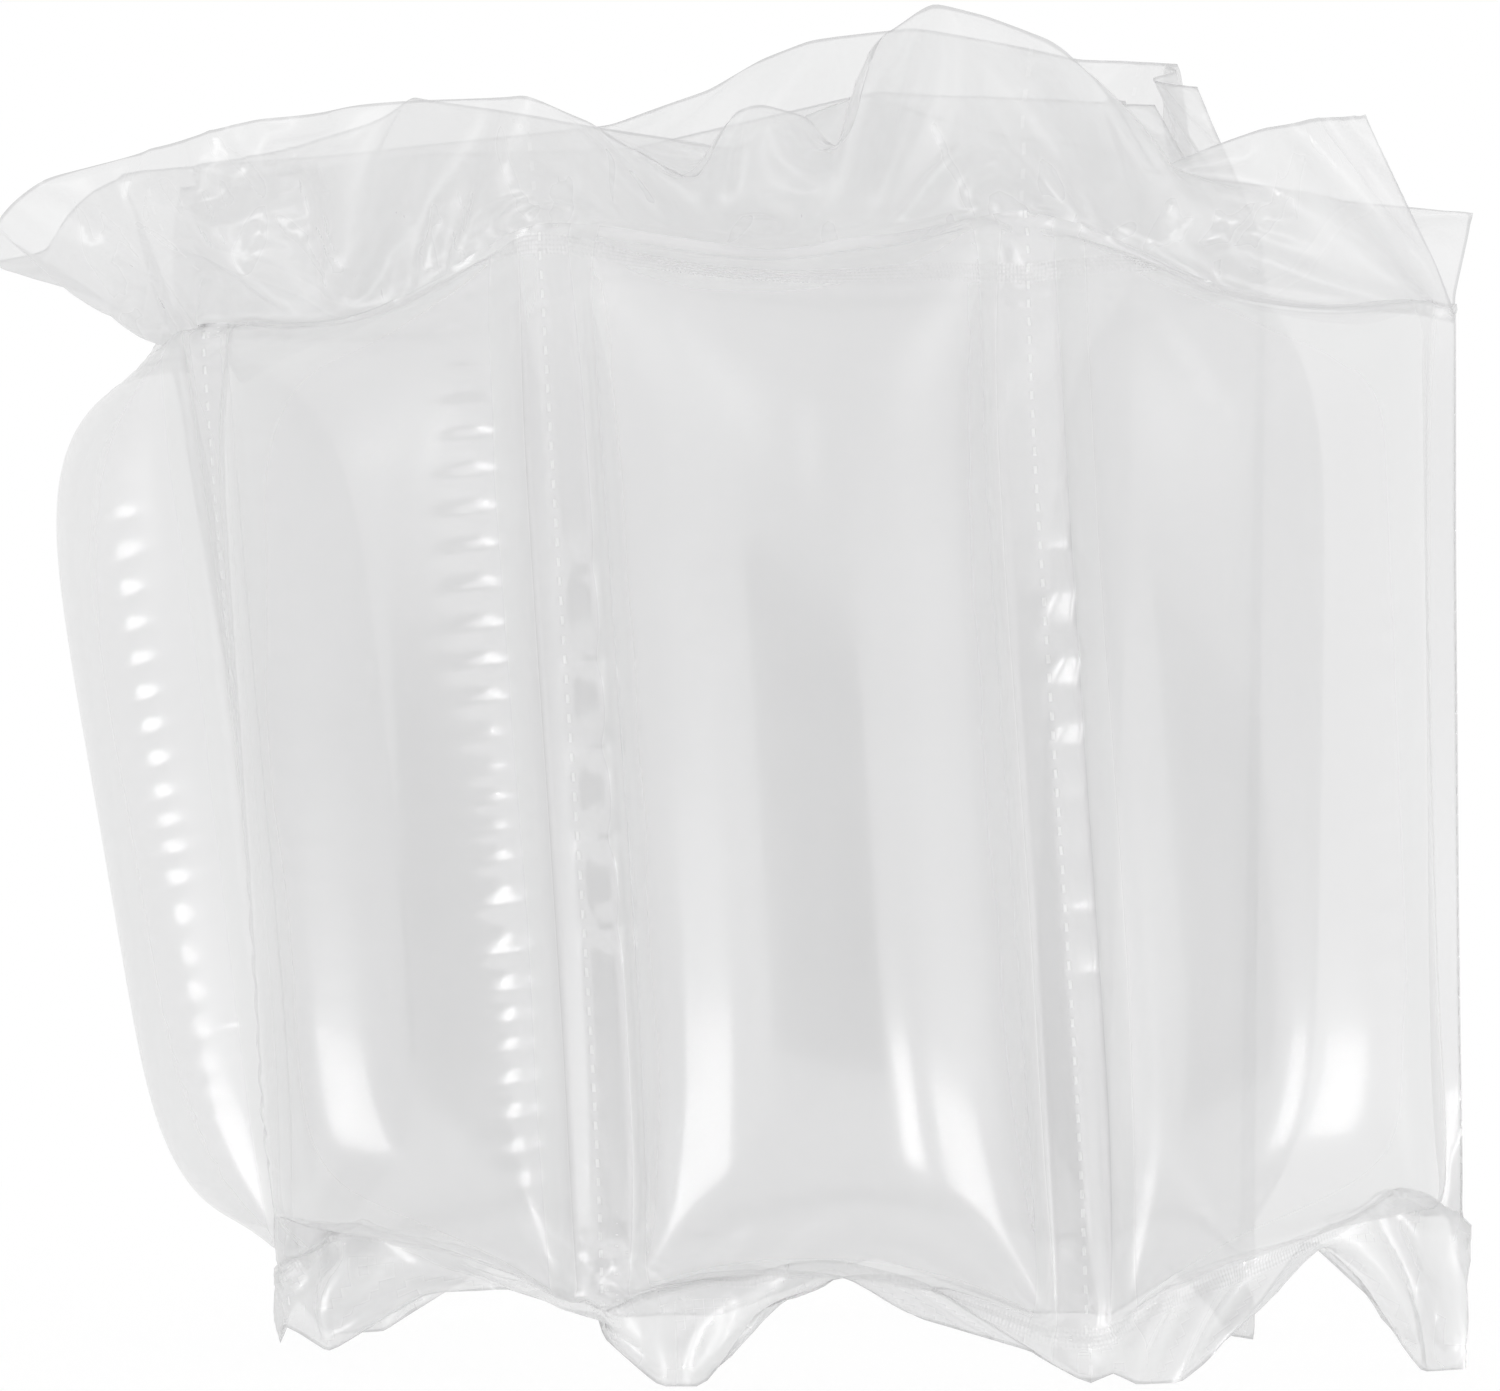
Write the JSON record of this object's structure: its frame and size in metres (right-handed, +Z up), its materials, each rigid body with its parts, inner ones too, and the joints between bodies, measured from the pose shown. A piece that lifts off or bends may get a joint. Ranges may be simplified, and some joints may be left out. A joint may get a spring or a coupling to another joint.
{
  "type": "inflatable air column bag",
  "caption": "Clear film strip of air-filled upright pockets with perforated seams between them, curled into an open ring, with a short skirt below and two loose leaves above.",
  "frame": {"origin": "middle of the bounding box in plan, on the ground that the skirt's feet stand on", "axes": "+Z up along the pockets, +Y away from the front, +X to the right, towards the gap between the torn ends"},
  "size_m": [0.2692, 0.2476, 0.2498],
  "materials": {
    "clear_film": "clear, glossy and slightly wrinkled film"
  },
  "bodies": {
    "root": {"air_column_bag": "clear_film"}
  },
  "joints": []
}
